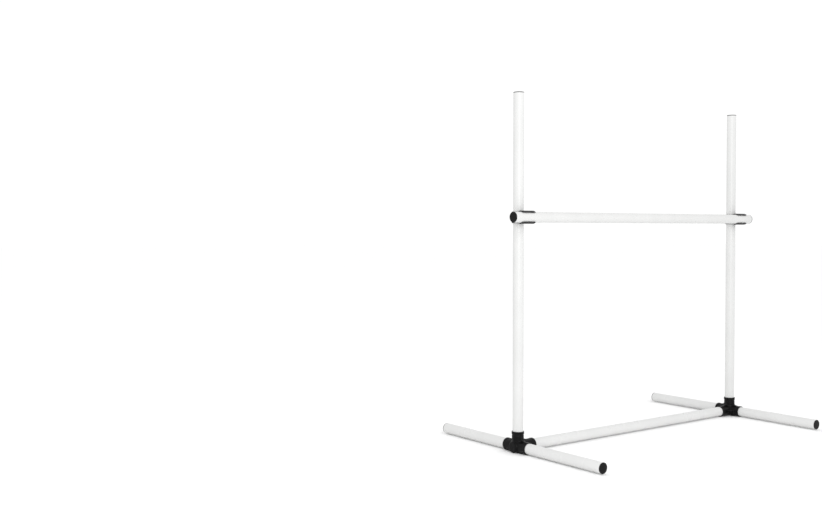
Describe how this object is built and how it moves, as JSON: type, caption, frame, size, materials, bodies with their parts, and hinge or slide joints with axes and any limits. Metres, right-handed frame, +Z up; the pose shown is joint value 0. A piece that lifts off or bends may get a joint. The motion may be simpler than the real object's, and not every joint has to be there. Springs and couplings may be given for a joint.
{
  "type": "agility hurdle",
  "caption": "Free-standing dog agility hurdle: white tube posts and feet in black base fittings, a ground bar, and a jump bar that snaps into clips sliding on the posts.",
  "frame": {"origin": "on the ground, in the middle between the two posts and the ends of the feet", "axes": "+X along the ground bar and the jump bar, -Y the side the jump bar snaps in from, +Z up the posts"},
  "size_m": [0.99, 0.6, 0.94],
  "materials": {
    "white_tube": "smooth white extruded PVC, semi-gloss",
    "black_fitting": "black moulded plastic, satin",
    "black_clip": "black moulded plastic, satin",
    "black_cap": "black moulded plastic, fine texture"
  },
  "bodies": {
    "frame": {"left_post_tube": "white_tube", "right_post_tube": "white_tube", "left_post_cap": "black_cap", "right_post_cap": "black_cap", "left_base_fitting": "black_fitting", "right_base_fitting": "black_fitting", "ground_bar_tube": "white_tube", "left_front_foot_tube": "white_tube", "left_front_foot_cap": "black_cap", "left_rear_foot_tube": "white_tube", "left_rear_foot_cap": "black_cap", "right_front_foot_tube": "white_tube", "right_front_foot_cap": "black_cap", "right_rear_foot_tube": "white_tube", "right_rear_foot_cap": "black_cap"},
    "left_clip": {"left_bar_clip": "black_clip", "left_clip_upper_jaw": "black_clip", "left_clip_lower_jaw": "black_clip"},
    "right_clip": {"right_bar_clip": "black_clip", "right_clip_upper_jaw": "black_clip", "right_clip_lower_jaw": "black_clip"},
    "jump_bar": {"jump_bar_tube": "white_tube", "jump_bar_left_cap": "black_cap", "jump_bar_right_cap": "black_cap"}
  },
  "joints": [
    {"name": "left_clip_slide", "type": "slide", "parent": "frame", "child": "left_clip", "axis": [0, 0, 1], "range_m": [-0.54, 0.305]},
    {"name": "right_clip_slide", "type": "slide", "parent": "frame", "child": "right_clip", "axis": [0, 0, 1], "range_m": [-0.54, 0.305]},
    {"name": "jump_bar_pull_out", "type": "slide", "parent": "left_clip", "child": "jump_bar", "axis": [0, -1, 0], "range_m": [0, 0.12], "deforming": ["left_clip_upper_jaw", "left_clip_lower_jaw", "right_clip_upper_jaw", "right_clip_lower_jaw"]}
  ],
  "couplings": [
    {"joint": "right_clip_slide", "follows": "left_clip_slide", "ratio": 1}
  ]
}
